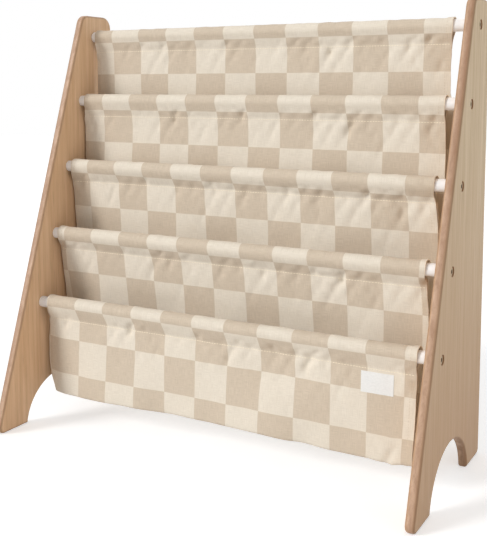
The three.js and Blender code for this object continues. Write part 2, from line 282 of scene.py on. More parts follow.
def wood_finish():
    """Pale oiled oak. Fine noise stretched upwards is the grain and mixes the face's two tones; a broad
    noise clouds them, and height warms them towards the floor. Inner faces mix a warmer pair. The edge
    mark, 0 on the faces and 1 on the rim, brings in a redder pair, with a dark arris about one half;
    the rim's outer half is darkened as painted shade of a rounder edge turning from the light, the more
    so high on the right board, where the whole rim is also darker. Bolt holes are darker, as raw wood
    with painted shade of the recess. Pores are the tops of a very close upright noise, darker and sunk."""
    f = Finish("oak_panel", Roughness=0.5, Specular_IOR_Level=0.25)
    broad = f.noise(f.coordinates((14, 14, 1.2)), detail=3.0, distortion=0.6)
    grain = f.noise(f.coordinates((160, 160, 5)), detail=6.0, roughness=0.65, distortion=0.25)
    pores = f.noise(f.coordinates((900, 900, 26)), detail=2.0)
    place = f.node("SeparateXYZ", {"Vector": f.node("TexCoord").outputs["Object"]})
    inner, edge_mark, bore = f.mark("inner"), f.mark("edge"), f.mark("bore")

    grain_share = f.spread(grain, 0.32, 0.68)
    face = f.mix(grain_share, srgb(192, 166, 130), srgb(213, 189, 154))
    face = f.mix(f.spread(broad, 0.35, 0.65, 0.0, 0.35), face, srgb(203, 174, 140))
    face = f.mix(f.spread(place.outputs["Z"], 0.42, 0.04, 0.0, 0.7), face, srgb(184, 142, 106))
    warm = f.mix(grain_share, srgb(212, 171, 131), srgb(231, 193, 156))
    face = f.mix(f.times(inner, 0.88), face, warm)

    edge = f.mix(f.spread(grain, 0.35, 0.65), srgb(174, 139, 113), srgb(204, 169, 142))
    colour = f.mix(f.spread(edge_mark, 0.5, 1.0), face, edge)
    arris = f.times(f.spread(edge_mark, 0.0, 0.45), f.spread(edge_mark, 1.0, 0.55))
    colour = f.mix(f.times(arris, 0.6), colour, srgb(136, 100, 74))

    # Painted shade: the rim's outer half is darkened like a rounder edge turning from the light, more so
    # high on the right board
    outer_half = f.times(edge_mark, f.sums("SUBTRACT", 1.0, inner))
    right = f.spread(place.outputs["X"], 0.0, 0.1)
    high = f.times(f.spread(place.outputs["Z"], 0.27, 0.42), right)
    painted_edge_shade = f.sums("ADD", f.times(high, 0.33), 0.32)
    colour = f.mix(f.times(outer_half, painted_edge_shade), colour, srgb(146, 108, 80))
    colour = f.mix(f.times(f.times(high, edge_mark), 0.16), colour, srgb(140, 102, 76))

    # Bolt bores are darker: raw wood, with painted shade of the recess
    colour = f.mix(bore, colour, srgb(150, 114, 84))
    dash = f.spread(pores, 0.60, 0.72, 0.0, 0.35)
    f.colour(f.mix(dash, colour, srgb(140, 110, 82)))
    f.roughness(f.spread(grain, 0.3, 0.7, 0.56, 0.42))
    f.bump(f.sums("SUBTRACT", grain, dash), 0.25, 0.0003)
    return f.material


def rod_finish():
    """White powder coat: a broad noise shifts tone and gloss a little, and a close one is the faint
    orange-peel ripple."""
    f = Finish("rod_coat", Roughness=0.28, Specular_IOR_Level=0.5)
    ripple = f.noise(f.coordinates((420, 420, 420)), detail=2.0)
    cloud = f.noise(f.coordinates((30, 60, 60)), detail=2.0)
    f.colour(f.mix(f.spread(cloud, 0.3, 0.7), srgb(247, 248, 249), srgb(252, 253, 254)))
    f.roughness(f.spread(cloud, 0.3, 0.7, 0.24, 0.33))
    f.bump(ripple, 0.12, 0.0002)
    return f.material


def plug_finish():
    """Grey moulded plastic: one close noise mixes two tones and roughens the surface."""
    f = Finish("plug_moulded", Roughness=0.6)
    grain = f.noise(f.coordinates((700, 700, 700)), detail=3.0)
    f.colour(f.mix(f.spread(grain, 0.35, 0.65), srgb(70, 70, 70), srgb(92, 91, 90)))
    f.bump(grain, 0.2, 0.0001)
    return f.material


def bolt_finish():
    """Warm plated steel: noise stretched round the axis gives the turning marks, which mix two tones and
    vary the gloss; the socket mark paints the hexagon's inside dark as its shade."""
    f = Finish("bolt_plated", Metallic=0.45, Roughness=0.42)
    marks = f.noise(f.coordinates((60, 1800, 1800)), detail=3.0)
    colour = f.mix(f.spread(marks, 0.35, 0.65), srgb(206, 182, 148), srgb(226, 206, 174))
    # Painted shade: the socket's inside is dark as shade in the recess
    f.colour(f.mix(f.mark("socket"), colour, srgb(38, 27, 20)))
    f.roughness(f.spread(marks, 0.3, 0.7, 0.30, 0.48))
    f.bump(marks, 0.15, 0.00005)
    return f.material


def cloth_finish():
    """Woven canvas with light and dark checks, one for each whole step of the UV. Noises stretched along
    the threads of either way sum to slubs, which mix two tones within each check; a broad blotch dulls
    them. The relief is the product of two even ribs, one each way, plus the slubs."""
    f = Finish("checked_canvas", Roughness=0.9, Specular_IOR_Level=0.2, Sheen_Weight=0.12,
               Sheen_Roughness=0.5)
    cut = f.coordinates((1, 1, 1), "UV")
    checks = f.node("TexChecker", {"Vector": cut, "Scale": 1.0}).outputs["Fac"]
    warp_slub = f.noise(f.coordinates((95, 4, 1), "UV"), detail=3.0, roughness=0.6)
    weft_slub = f.noise(f.coordinates((4, 95, 1), "UV"), detail=3.0, roughness=0.6)
    blotch = f.noise(f.coordinates((1.3, 1.3, 1), "UV"))
    slub = f.sums("ADD", warp_slub, weft_slub)
    slub_share = f.spread(slub, 0.8, 1.2)
    light = f.mix(slub_share, srgb(222, 211, 194), srgb(236, 226, 210))
    dark = f.mix(slub_share, srgb(200, 184, 163), srgb(216, 200, 180))
    colour = f.mix(checks, light, dark)
    f.colour(f.mix(f.spread(blotch, 0.3, 0.7, 0.0, 0.10), colour, srgb(206, 190, 168)))
    ribs = f.times(f.bands(cut, 16.0, "X"), f.bands(cut, 16.0, "Y"))
    f.bump(f.sums("ADD", ribs, f.times(slub, 0.8)), 0.35, 0.0002)
    return f.material


def thread_finish(name, roughness, sheen, low, high):
    """Twisted sewing thread: one close noise mixes two tones and is the relief of the twist."""
    f = Finish(name, Roughness=roughness, Sheen_Weight=sheen)
    twist = f.noise(f.coordinates((900, 900, 900)), detail=2.0)
    f.colour(f.mix(f.spread(twist, 0.35, 0.65), srgb(*low), srgb(*high)))
    f.bump(twist, 0.3, 0.0001)
    return f.material


def label_finish():
    """White woven tape: a broad noise mixes two whites, and close level ribs are the relief."""
    f = Finish("woven_tape", Roughness=0.62, Sheen_Weight=0.25, Specular_IOR_Level=0.35)
    ribs = f.bands(f.coordinates((1, 1, 1), "UV"), 8.0, "Y")
    cloud = f.noise(f.coordinates((0.3, 0.5, 1), "UV"), detail=3.0)
    f.colour(f.mix(f.spread(cloud, 0.3, 0.7), srgb(229, 228, 225), srgb(237, 236, 233)))
    f.bump(ribs, 0.3, 0.0001)
    return f.material


oak = wood_finish()
rod_coat = rod_finish()
plug_moulded = plug_finish()
bolt_plated = bolt_finish()
canvas = cloth_finish()
seam_thread = thread_finish("sewing_thread", 0.7, 0.2, (234, 220, 194), (247, 237, 216))
hem_thread = thread_finish("hem_thread", 0.75, 0.1, (206, 191, 168), (220, 206, 184))
tape = label_finish()


# Side panels

# Turned bolt hole, ring by ring from the outer face to the inner one: its radius and depth, 1 where
# it is darkened as raw wood with painted shade of the recess, and 1 on the inner face
HOLE_RADII = np.array([6.7, 6.3, 6.3, 3.3, 3.3])
HOLE_DEPTHS = np.array([0.0, 0.4, 2.3, 5.1, PANEL_THICKNESS])
HOLE_RAW_AND_SHADE = np.array([0, 1, 1, 1, 0.0])
HOLE_INNER = np.array([0, 0, 0, 0, 1.0])


def panel_outline(corner_steps=14, arch_steps=48):
    """Outline (y, z), anticlockwise from the arch's right foot: arcs of the corner circles between
    their common tangents, closed along the elliptical arch where it is cut by the floor line."""
    centre, radius = PANEL_CORNERS[:, :2], PANEL_CORNERS[:, 2]
    step = np.roll(centre, -1, 0) - centre
    length = np.hypot(*step.T)
    along = step / length[:, None]
    lean = (radius - np.roll(radius, -1)) / length
    right = np.stack([along[:, 1], -along[:, 0]], -1)
    normal = along * lean[:, None] + right * np.sqrt(1 - lean ** 2)[:, None]
    leave = np.arctan2(normal[:, 1], normal[:, 0])
    arrive = np.roll(leave, 1)
    turn = (leave - arrive) % (2 * PI)
    angle = arrive[:, None] + turn[:, None] * np.linspace(0, 1, corner_steps)
    arcs = centre[:, None] + radius[:, None, None] * np.stack([np.cos(angle), np.sin(angle)], -1)
    half_width, rise, sink = ARCH
    start = np.arcsin(-sink / rise)
    sweep = np.linspace(PI - start, start, arch_steps)
    arch = np.stack([half_width * np.cos(sweep), sink + rise * np.sin(sweep)], -1)
    return np.concatenate([arcs[1], arcs[2], arcs[3], arcs[0], arch])


def mitres(outline):
    """Inward shift of each outline point for one millimetre of inset, along the corner's bisector."""
    into = outline - np.roll(outline, 1, 0)
    out = np.roll(outline, -1, 0) - outline
    into /= np.hypot(*into.T)[:, None]
    out /= np.hypot(*out.T)[:, None]
    normal = np.stack([-(into + out)[:, 1], (into + out)[:, 0]], -1)
    normal /= np.hypot(*normal.T)[:, None]
    across = np.stack([-into[:, 1], into[:, 0]], -1)
    return normal / np.sum(normal * across, -1)[:, None]


def fill_face(places, loops, hole_centres, hole_radius):
    """Triangles between an outline and its holes; loops give the numbers of the points round each."""
    numbers = np.concatenate(loops)
    edges, start = [], 0
    for loop in loops:
        count = np.arange(len(loop))
        edges += (start + np.stack([count, (count + 1) % len(loop)], -1)).tolist()
        start += len(loop)
    flat = [Vector(p) for p in places[numbers]]
    points, _, triangles, origins, _, _ = geometry.delaunay_2d_cdt(flat, edges, [], 1, 1e-6)
    middle = np.array([np.mean([points[v][:] for v in t], 0) for t in triangles])
    away = np.hypot(*(middle[:, None] - hole_centres[None]).transpose(2, 0, 1)).min(1)
    return [[numbers[origins[v][0]] for v in t] for t, d in zip(triangles, away) if d > hole_radius]


def side_panel(name, side, node, round_steps=8, hole_sides=32):
    """Panel: the outline carried through a quarter circle, the plain edge and a quarter circle again,
    with the two faces filled between the rims and the turned bolt holes."""
    outline = panel_outline()
    shift = mitres(outline)
    turn = np.linspace(0, PI / 2, round_steps)
    inset = PANEL_EDGE_RADIUS * (1 - np.sin(turn))
    depth = PANEL_EDGE_RADIUS * (1 - np.cos(turn))
    inset = np.concatenate([inset, inset[::-1]])
    depth = np.concatenate([depth, PANEL_THICKNESS - depth[::-1]])
    share = np.concatenate([turn, turn[::-1]]) / (PI / 2)
    flat = outline[None] + inset[:, None, None] * shift[None]
    x = np.broadcast_to(HALF_WIDTH - depth[:, None], flat.shape[:2])
    rim = np.concatenate([x[..., None], flat], -1).reshape(-1, 3)

    round_hole = 2 * PI * np.arange(hole_sides) / hole_sides
    centres = np.stack([ROD_Y, ROD_Z], -1)
    ring = HOLE_RADII[:, None, None] * np.stack([np.cos(round_hole), np.sin(round_hole)], -1)
    hole_flat = centres[:, None, None] + ring[None]
    hole_x = np.broadcast_to(HALF_WIDTH - HOLE_DEPTHS[None, :, None], hole_flat.shape[:3])
    holes = np.concatenate([hole_x[..., None], hole_flat], -1).reshape(-1, 3)

    rows, count, rings = len(inset), len(outline), len(HOLE_RADII)
    faces = grid_faces(rows, count, closed_columns=True)[:, ::-1].tolist()
    points = np.concatenate([rim, holes])
    place = points[:, 1:]
    hole_start = rows * count + rings * hole_sides * np.arange(ROD_COUNT)
    for start in hole_start:
        faces += (start + grid_faces(rings, hole_sides, closed_columns=True)).tolist()
    rim_loop, hole_loop = np.arange(count), np.arange(hole_sides)
    last_ring = (rings - 1) * hole_sides
    outer = [rim_loop] + [start + hole_loop for start in hole_start]
    inner = [(rows - 1) * count + rim_loop] + [start + last_ring + hole_loop for start in hole_start]
    faces += fill_face(place, outer, centres, HOLE_RADII[0])
    faces += [t[::-1] for t in fill_face(place, inner, centres, HOLE_RADII[-1])]
    points[:, 0] *= side
    if side < 0:
        faces = [f[::-1] for f in faces]

    def on_holes(values):
        return np.broadcast_to(values[None, :, None], hole_flat.shape[:3]).ravel()

    on_rim = np.repeat(share, count)
    marks = {"edge": np.concatenate([on_rim, np.zeros(len(holes))]),
             "bore": np.concatenate([on_rim * 0, on_holes(HOLE_RAW_AND_SHADE)]),
             "inner": np.concatenate([np.repeat(depth > PANEL_THICKNESS / 2, count), on_holes(HOLE_INNER)])}
    piece = make_piece(name, points, faces, oak, [node], marks=marks, sharp=35)
    piece.modifiers.new("even_light", "WEIGHTED_NORMAL").keep_sharp = True


side_panel("left_side", -1, "left_side_panel")
side_panel("right_side", 1, "right_side_panel")


# Rods, plugs and bolts

ROD_SIDES = 64
BOLT_SIDES = 48
# Bolt from its socket's floor to its tip: depth below the head's face, radius, as a share of the
# hexagon's in the socket's rings, and 1 where the socket's inside is painted dark as its shade
SOCKET_HALF = 2.3  # half the hexagon's width across its flats
SOCKET_RINGS = 4
BOLT_DEPTHS = np.array([2.4, 2.4, 0.35, 0.0, 0.0, 0.12, 0.5, 1.0, 3.3, BOLT_LENGTH - 1, BOLT_LENGTH,
                        BOLT_LENGTH])
BOLT_RADII = np.array([0, 1, 1, 1.06, 4.9, 5.6, 6.0, 6.0, 3.0, 3.0, 2.0, 0])
SOCKET_SHADE = np.array([1, 1, 1, 0.4, 0, 0, 0, 0, 0, 0, 0, 0], float)


def turned(name, x, radius, y, z, sides, material, node, side=1, closed=False, marks=None):
    """Profile (x, radius) turned about the level line through (y, z); radius may vary with the angle."""
    angle = 2 * PI * np.arange(sides) / sides
    radius = np.broadcast_to(radius if np.ndim(radius) == 2 else radius[:, None], (len(x), sides))
    along = np.broadcast_to(x[:, None], radius.shape)
    points = np.stack([side * along, y + radius * np.cos(angle), z + radius * np.sin(angle)], -1)
    faces = grid_faces(len(x), sides, closed_rows=closed, closed_columns=True)
    faces = faces[:, ::-1] if side < 0 else faces
    values = {k: np.repeat(v, sides) for k, v in (marks or {}).items()}
    return make_piece(name, points.reshape(-1, 3), faces, material, [node], marks=values,
                      weld=not closed)


def rod_profile():
    """Rod's wall in section, round both ends and back through the bore: x and radius."""
    rounding, along, inward = 0.6, 0.2, 0.15  # rounded end edge, and a point halfway round it
    x = np.array([-ROD_END_X + rounding, ROD_END_X - rounding, ROD_END_X - along, ROD_END_X, ROD_END_X,
                  -ROD_END_X, -ROD_END_X, -ROD_END_X + along])
    drop = np.array([0, 0, inward, rounding, ROD_WALL, ROD_WALL, rounding, inward])
    return x, ROD_RADIUS - drop


def bolt_profile():
    """Bolt's outline from its tip to the socket's middle: x, and radius at every side. A hexagon's
    radius is its half width over the cosine of the angle from the nearest flat's middle."""
    angle = (2 * PI * np.arange(BOLT_SIDES) / BOLT_SIDES + PI / 6) % (PI / 3) - PI / 6
    hexagon = SOCKET_HALF / np.cos(angle)
    in_socket = np.arange(len(BOLT_RADII))[:, None] < SOCKET_RINGS
    radius = np.where(in_socket, BOLT_RADII[:, None] * hexagon, BOLT_RADII[:, None])
    return (HALF_WIDTH - BOLT_RECESS - BOLT_DEPTHS)[::-1], radius[::-1]


rod_x, rod_radius = rod_profile()
bolt_x, bolt_radius = bolt_profile()
for number, (rod_y, rod_z) in enumerate(zip(ROD_Y, ROD_Z), 1):
    turned(f"white_rod_{number}", rod_x, rod_radius, rod_y, rod_z, ROD_SIDES, rod_coat,
           f"rod_{number}", closed=True)
    for side, word in ((-1, "left"), (1, "right")):
        turned(f"{word}_bolt_head_{number}", bolt_x, bolt_radius, rod_y, rod_z, BOLT_SIDES, bolt_plated,
               f"{word}_bolt_{number}", side, marks={"socket": SOCKET_SHADE[::-1]})
        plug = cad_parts[f"{word}_plug_{number}"]
        plug.data.materials.clear()
        plug.data.materials.append(plug_moulded)


# Sling

# Pocket bottoms: the front wall's foot is a sharp fold, from which the floor slants up to the back wall
FOLD_DROP = 131.5  # height of the fold below the rod that carries the front wall
FOLD_RADIUS = 3.0
FOLD_REACH_SHARE = 1.75  # how far the fold's corner lies below, in fold radii
SLANT_RISE = 36.0
SLANT_RADIUS = 26.0
BACK_WALL_END, FRONT_WALL_START = 62.0, 26.0  # above the fold
# Sleeve: where its two layers pinch together above the seam
PINCH_DROP = 20.5
PINCH_SHIFT = 1.15
SLEEVE_POINTS = 60
SEAM_POINT = SLEEVE_POINTS + 4  # number of the path's point at the seam's front
FRONT_POINT = 42  # number of a point high on the sleeve's front
PROBE = 0.4  # step that finds the cloth's slope

# Cloth edges: each cloth's left and right edge on its rod, and how far they lie from there at
# these drops below the rod, with the spans across over which that comes in
CUT_LEFT = np.array([-288.5, -285.0, -285.5, -285.5, -279.5])
CUT_RIGHT = np.array([276.0, 278.0, 277.0, 278.5, 281.5])
EDGE_DROPS = np.array([0.0, 12.0, 28.0, 52.0, 86.0, 120.0])
LEFT_EDGES = np.array([[0, -2.9, -3.2, -1.2, -0.4, -0.2], [0, -3.6, -6.8, -7.6, -5.4, -5],
                       [0, -4.4, -9.2, -10.2, -10.6, -10.6], [0, -3, -8.9, -10.4, -6, 1.5],
                       [0, -4.3, -5.9, -5.6, -4.8, -0.8]])
RIGHT_EDGES = np.array([[0, -2, -3.1, -3.7, -3.5, 6.5], [0, -2, -1.2, -0.8, -0.2, -0.1],
                        [0, -2.6, -1.3, 0.6, 0.6, 0.6], [0, -2.8, -0.8, 1, 0.5, 0.2],
                        [0, -2.6, -2.7, -3.1, -3.9, -5.7]])
LEFT_EDGE_SPAN, RIGHT_EDGE_SPAN = (225, 60), (190, 88)
# No edge goes further left than the second of these; from the first on, it turns back beside the panel
EDGE_LIMIT = (-292.6, -294.4)
# Left edges curl back: how far, over what width, how much that draws them in, and the span of drops;
# the lowest one opens again by a share over its own span
LEFT_CURL = np.array([5.0, 5.0, 5.0, 6.0, 8.0])
CURL_WIDTH = 25.0
CURL_SHIFT = 0.78
CURL_SPAN = (8, 34)
CURL_OPENING, CURL_OPENING_SPAN = 0.8, (90, 40)

# How far each wall leans back at these drops below its rod, and the part of that lost towards its
# right end, where a negative part is gained
LEAN_DROPS = np.array([6.0, 22.0, 40.0, 60.0, 86.0, 120.0])
LEANS = np.array([[0, -0.3, -0.6, -1.2, -1.8, -1.8], [0, 0.5, 1.5, 1, -1, -1.5], [0, 4.2, 5, 6.5, 8, 8],
                  [0, 4.5, 7, 10, 13.5, 16], [0, 3, 1.5, 0.5, -1.5, -3.5]])
LEAN_LOSS = np.array([0, 0, -0.3, 0.45, 0.8])
LEAN_LOSS_SPAN = (130, 110)

# Sleeves: how loosely each lies on its rod, and at its ends; what the puckers add, and how steeply they
# run round it; the span of heights over which it comes in; and how far out a sleeve reaches
LOOSENESS = np.array([0.3, 0.7, 1.2, 1.2, 2.0])
LOOSE_LEFT, LOOSE_RIGHT, LOOSE_END_WIDTH = 0.6, 1.0, 14.0
LOOSE_PUCKER, LOOSE_PUCKER_SLOPE = 0.35, 3.0
LOOSE_SPAN = (-4.0, 12.0)
SLEEVE_REACH = 1.5

# Lowest pocket's front: how much lower its fold hangs at these places across, a shallow dent, a crease
# up from the right corner, and the left corner tucked in
FOLD_PLACES = np.array([-283.0, -243, -213, -150, -38, 54, 120, 168, 213, 239, 252, 269, 283])
FOLD_SINKS = np.array([2.2, 1.9, 2.6, 0.4, -1.6, -1.6, 0.4, 4.0, 4.6, 5.6, 6.8, 4.0, 3.0])
FOLD_SINK_SPAN = (50, 60)
DENT_DEPTH, DENT_X, DENT_DROP, DENT_WIDTH, DENT_HEIGHT = 4.0, 85.0, 48.0, 50.0, 24.0
CREASE_DEPTH, CREASE_X, CREASE_Z, CREASE_LEAN, CREASE_WIDTH = 2.6, 243.0, 36.0, 0.5, 6.5
CREASE_SPAN = (50, 26)
CORNER_TUCK, TUCK_SIDE_SPAN, TUCK_DROP_SPAN = 11.0, (244, 34), (100, 44)

# Waves across the cloth as length, weight and lean: puckers at the seam, billows on the wall, and calm
# and busy stretches. Their phases are drawn by chance, in this order.
luck = np.random.default_rng(7)
PUCKER_PHASES = luck.random((5, 6))
PUCKERS = ((12.5, 0.07, 0.2), (16.5, 0.16, -0.5), (21.5, 0.26, 0.7), (28.0, 0.30, 0.45), (38.0, 0.28, -0.3),
           (57.0, 0.24, 0.5))
BILLOW_PHASES = luck.random((5, 4))
BILLOWS = ((47.0, 0.22, 0.5), (71.0, 0.50, -0.3), (113.0, 0.75, 0.25), (167.0, 0.50, 0.2))
CALM_PHASES = luck.random((5, 2))
CALM = ((139.0, 0.30, 0.0), (233.0, 0.25, 0.0))
# Gathering: its level, its rise to the right over a span, and its limits
GATHER_LEVEL, GATHER_RISE, GATHER_SPAN, GATHER_LIMITS = 0.85, 0.5, (-60, 220), (0.25, 1.8)
# Puckers: depth; the crests' size, sharpness and mean; the drops where they start; the share that the
# stitches press flat, above and below; where they fade, and how fast; the share that the label holds flat
PUCKER_DEPTH = 2.8
CREST_SIZE, CREST_SHARPNESS, CREST_MEAN = 0.5, 1.2, 0.58
PUCKER_START = (8.0, 8.0)
STITCH_PRESS, PRESS_SPAN, RELEASE_SPAN = 0.45, (16.0, 6.5), (0, 8)
FADE_FALL, FADE_LENGTH = 6.0, 22.0
LABEL_HOLD, LABEL_START_SPAN, LABEL_END_SPAN = 0.85, (190, 12), (252, 12)


def wave_mix(place, fall, waves, phases):
    """Sum of cosines across the cloth, each with its own length, weight and lean as it runs down, so that
    the folds fan out and never repeat within the cloth's width."""
    total = np.zeros(np.broadcast(place, fall).shape)
    for (length, weight, lean), phase in zip(waves, phases):
        total += weight * np.cos(2 * PI * ((place + lean * fall) / length + phase))
    return total


def seam_puckers(rod, x, fall, gather):
    """Puckers at a seam: crests from an exponential of the wave mix. They start on the sleeve's lower
    front, are pressed flatter at the stitches, return below and fade down the wall."""
    wave = wave_mix(x, fall, PUCKERS, PUCKER_PHASES[rod])
    crests = CREST_SIZE * np.exp(CREST_SHARPNESS * wave) - CREST_MEAN
    drop = fall + STITCH_DROP
    above = 1.0 - STITCH_PRESS * smoothstep(drop, *PRESS_SPAN)
    below = 1.0 - STITCH_PRESS * (1.0 - smoothstep(fall, *RELEASE_SPAN))
    strength = smoothstep(drop, *PUCKER_START) * np.where(fall < 0, above, below)
    strength = strength * gather * np.exp(-np.maximum(fall - FADE_FALL, 0) / FADE_LENGTH)
    if rod == LAST:
        held = smoothstep(x, *LABEL_START_SPAN) * (1 - smoothstep(x, *LABEL_END_SPAN))
        strength = strength * (1 - LABEL_HOLD * held)
    return PUCKER_DEPTH * strength * crests


def sleeve_looseness(rod, x, out_y, out_z, gather):
    """How far the sleeve stands off its rod, for each millimetre from the rod's middle: on its upper
    side, more at both ends, with the puckers running on round it."""
    away = np.hypot(out_y, out_z)
    turn = wave_mix(x, LOOSE_PUCKER_SLOPE * out_z, PUCKERS, PUCKER_PHASES[rod - 1])
    loose = (LOOSENESS[rod] + LOOSE_PUCKER * turn * gather
             + LOOSE_RIGHT * smoothstep(x, CUT_RIGHT[rod] - LOOSE_END_WIDTH, LOOSE_END_WIDTH)
             + LOOSE_LEFT * smoothstep(-x, -CUT_LEFT[rod] - LOOSE_END_WIDTH, LOOSE_END_WIDTH))
    loose = np.maximum(loose, 0) * smoothstep(out_z, *LOOSE_SPAN)
    return loose * (away < SLEEVE_RADIUS + SLEEVE_REACH) / np.maximum(away, 1)


def lowest_front(x, z, fall):
    """Moves of the lowest pocket's front alone, to the right, back and down: its tucked left corner, the
    dent and the crease as bell curves, and its uneven fold."""
    drop = fall + STITCH_DROP
    tuck = CORNER_TUCK * smoothstep(-x, *TUCK_SIDE_SPAN) * smoothstep(drop, *TUCK_DROP_SPAN)
    dent = np.exp(-((x - DENT_X) / DENT_WIDTH) ** 2 - ((drop - DENT_DROP) / DENT_HEIGHT) ** 2)
    from_crease = x - CREASE_X - CREASE_LEAN * (z - CREASE_Z)
    crease = np.exp(-(from_crease / CREASE_WIDTH) ** 2) * (1 - smoothstep(z, *CREASE_SPAN))
    sink = smoothstep(fall, *FOLD_SINK_SPAN) * eased(x, FOLD_PLACES, FOLD_SINKS)
    return tuck, DENT_DEPTH * dent + CREASE_DEPTH * crease, sink


def hang(points):
    """Moves points of the level-hung sling as cloth falls. Each rod's plane has broad folds and a sag, as
    in the CAD, billows, puckers at its seam, a lean, a curled left edge, a loose sleeve and its own line
    of both side edges. A rod's share is the squared cosine of the distance to its plane, so neighbouring
    layers move alike. Near the left panel, an exponential levels off at the limit."""
    x, y, z = points[..., 0], points[..., 1], points[..., 2]
    moved = points.copy()
    for rod in range(ROD_COUNT):
        out_y, out_z = y - ROD_Y[rod], z - ROD_Z[rod]
        share = np.cos(np.minimum(np.abs(out_y) / ROD_STEP_Y, 1) * PI / 2) ** 2
        fall = ROD_Z[rod] - STITCH_DROP - z
        drop = fall + STITCH_DROP
        growth = smoothstep(fall, FOLD_START, FOLD_GROWTH)
        turns = x / FOLD_SPACING + (fall - FOLD_START) / FOLD_LEAN + FOLD_PHASES[rod]
        folds = FOLD_DEPTH * np.sin(2 * PI * turns) + wave_mix(x, fall, BILLOWS, BILLOW_PHASES[rod])
        level = GATHER_LEVEL + GATHER_RISE * smoothstep(x, *GATHER_SPAN)
        gather = np.clip(level + wave_mix(x, 0, CALM, CALM_PHASES[rod]), *GATHER_LIMITS)
        lean = np.interp(drop, LEAN_DROPS, LEANS[rod])
        lean = lean * (1 - LEAN_LOSS[rod] * smoothstep(x, *LEAN_LOSS_SPAN))
        curl = np.clip((CUT_LEFT[rod] + CURL_WIDTH - x) / CURL_WIDTH, 0, 1) ** 2
        curl = curl * smoothstep(drop, *CURL_SPAN)
        if rod == LAST:
            curl = curl * (1 - CURL_OPENING * smoothstep(drop, *CURL_OPENING_SPAN))
        moved[..., 1] += share * (growth * folds + seam_puckers(rod, x, fall, gather))
        moved[..., 1] += share * (lean + LEFT_CURL[rod] * curl)
        loose = sleeve_looseness(rod, x, out_y, out_z, gather)
        moved[..., 1] += loose * out_y
        moved[..., 2] += loose * out_z
        moved[..., 2] -= share * growth * POCKET_SAG * np.cos(PI * x / CLOTH_WIDTH)
        if rod == LAST:
            tuck, inward, sink = lowest_front(x, z, fall)
            moved[..., 0] += share * tuck
            moved[..., 1] += share * inward
            moved[..., 2] -= share * sink
        left = smoothstep(-x, *LEFT_EDGE_SPAN) * np.interp(drop, EDGE_DROPS, LEFT_EDGES[rod])
        right = smoothstep(x, *RIGHT_EDGE_SPAN) * np.interp(drop, EDGE_DROPS, RIGHT_EDGES[rod])
        moved[..., 0] += share * (left + right - CURL_SHIFT * LEFT_CURL[rod] * curl)
    soft, hard = EDGE_LIMIT
    beyond = np.maximum(soft - moved[..., 0], 0)
    moved[..., 0] += beyond - (soft - hard) * (1 - np.exp(-beyond / (soft - hard)))
    return moved


def rounded(corners, radii, steps=14):
    """Polyline with each inner corner turned into an arc of its radius between the two legs."""
    path = [corners[:1]]
    for before, corner, after, radius in zip(corners, corners[1:], corners[2:], radii):
        to_start = (before - corner) / np.linalg.norm(before - corner)
        to_end = (after - corner) / np.linalg.norm(after - corner)
        half_open = np.arccos(np.clip(to_start @ to_end, -1, 1)) / 2
        middle = (to_start + to_end) / np.linalg.norm(to_start + to_end)
        centre = corner + middle * radius / np.sin(half_open)
        reach = radius / np.tan(half_open)
        start, end = corner + to_start * reach - centre, corner + to_end * reach - centre
        sweep = np.arctan2(start[0] * end[1] - start[1] * end[0], start @ end) * np.linspace(0, 1, steps)
        turned_y = start[0] * np.cos(sweep) - start[1] * np.sin(sweep)
        turned_z = start[0] * np.sin(sweep) + start[1] * np.cos(sweep)
        path.append(centre + np.stack([turned_y, turned_z], -1))
    path.append(corners[-1:])
    return np.concatenate(path)


def fold_height(index):
    """Height of the fold at the bottom of a cloth's pocket; the last two cloths share theirs."""
    return ROD_Z[min(index + 1, LAST)] - FOLD_DROP


def pocket_bottom(back_y, front_y, low_z):
    """Down the back wall, slanting forward to the fold at the front wall's foot, and up the front wall."""
    corners = np.array([[back_y, low_z + BACK_WALL_END], [back_y, low_z + SLANT_RISE],
                        [front_y, low_z - FOLD_RADIUS * FOLD_REACH_SHARE],
                        [front_y, low_z + FRONT_WALL_START]])
    return rounded(corners, (SLANT_RADIUS, FOLD_RADIUS))


def cloth_path(index):
    """Cloth seen from its side: up behind the seam, round the rod, down the wall, round the bottom and up.
    Gives the distance along it and the place (y, z) of each of its points."""
    y, z = ROD_Y[index], ROD_Z[index]
    pinch_angle = np.arctan2(-PINCH_DROP, PINCH_SHIFT)
    wrap = pinch_angle + np.arccos(SLEEVE_RADIUS / np.hypot(PINCH_SHIFT, PINCH_DROP))
    angle = np.linspace(wrap, PI - wrap, SLEEVE_POINTS)
    wall_y, seam_z = y - LAYER_SHIFT, z - STITCH_DROP
    parts = [np.array([[y + LAYER_SHIFT, seam_z - SEAM_ALLOWANCE], [y + LAYER_SHIFT, seam_z],
                       [y + PINCH_SHIFT, z - PINCH_DROP]]),
             np.stack([y + SLEEVE_RADIUS * np.cos(angle), z + SLEEVE_RADIUS * np.sin(angle)], -1),
             np.array([[y - PINCH_SHIFT, z - PINCH_DROP], [wall_y, seam_z]])]
    if index >= LAST - 1:
        bottom = pocket_bottom(ROD_Y[LAST - 1] - LAYER_SHIFT, ROD_Y[LAST] - LAYER_SHIFT, fold_height(index))
        middle = int(np.argmin(bottom[:, 1]))
        parts.append(bottom[:middle - 1] if index < LAST else bottom[:middle:-1])
    else:
        front_y = y - ROD_STEP_Y + LAYER_SHIFT + LAYER_PITCH
        parts.append(pocket_bottom(wall_y, front_y, fold_height(index)))
        parts.append(np.array([[front_y, z - ROD_PITCH - STITCH_DROP]]))
    corners = np.concatenate(parts)
    length = np.concatenate([[0], np.cumsum(np.hypot(*np.diff(corners, axis=0).T))])
    return length, corners


PATHS = [cloth_path(index) for index in range(ROD_COUNT)]


